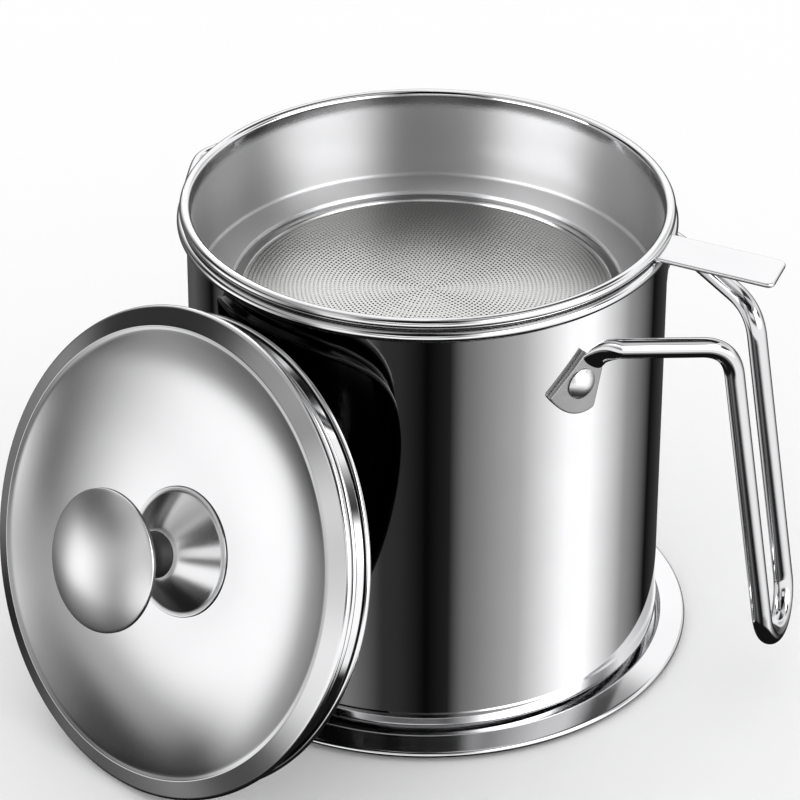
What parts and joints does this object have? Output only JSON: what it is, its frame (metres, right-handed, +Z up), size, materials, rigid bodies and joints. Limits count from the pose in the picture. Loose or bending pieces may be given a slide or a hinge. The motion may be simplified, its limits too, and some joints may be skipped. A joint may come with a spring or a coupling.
{
  "type": "bacon grease container",
  "caption": "Round steel grease pot with rod handle and pouring spout on a drip tray, a lift-out strainer with thumb tab in its mouth, and its knobbed lid leaning against it.",
  "frame": {"origin": "centre of the drip tray's flat underside, on the pot's axis", "axes": "+Z up along the pot's axis, +X towards the handle, the spout close to -X, the lid leaning at the -Y side"},
  "size_m": [0.1984, 0.1876, 0.1279],
  "materials": {
    "polished": "mirror-polished stainless steel",
    "satin": "satin stainless steel",
    "alloy": "plain aluminium, sealed inside the base"
  },
  "bodies": {
    "tray": {"drip_tray": "polished"},
    "pot": {"pot_body": "polished", "base_cap": "polished", "base_core": "alloy", "handle_rod": "polished", "handle_rivets": "polished"},
    "strainer": {"strainer_basket": "polished", "strainer_mesh": "satin", "mesh_ring": "polished", "strainer_tab": "polished"},
    "lid": {"lid_shell": "polished", "lid_skirt": "polished", "knob_foot": "satin", "knob_stem": "polished", "knob_cap": "polished", "knob_screw": "polished", "knob_washer": "polished"}
  },
  "joints": [
    {"name": "pot_lift", "type": "slide", "parent": "tray", "child": "pot", "axis": [0, 0, 1], "range_m": [0, 0.06]},
    {"name": "strainer_lift", "type": "slide", "parent": "pot", "child": "strainer", "axis": [0, 0, 1], "range_m": [0, 0.06]},
    {"name": "lid_away", "type": "slide", "parent": "tray", "child": "lid", "axis": [-0.4016, -0.8535, 0.3322], "range_m": [0, 0.08]}
  ]
}
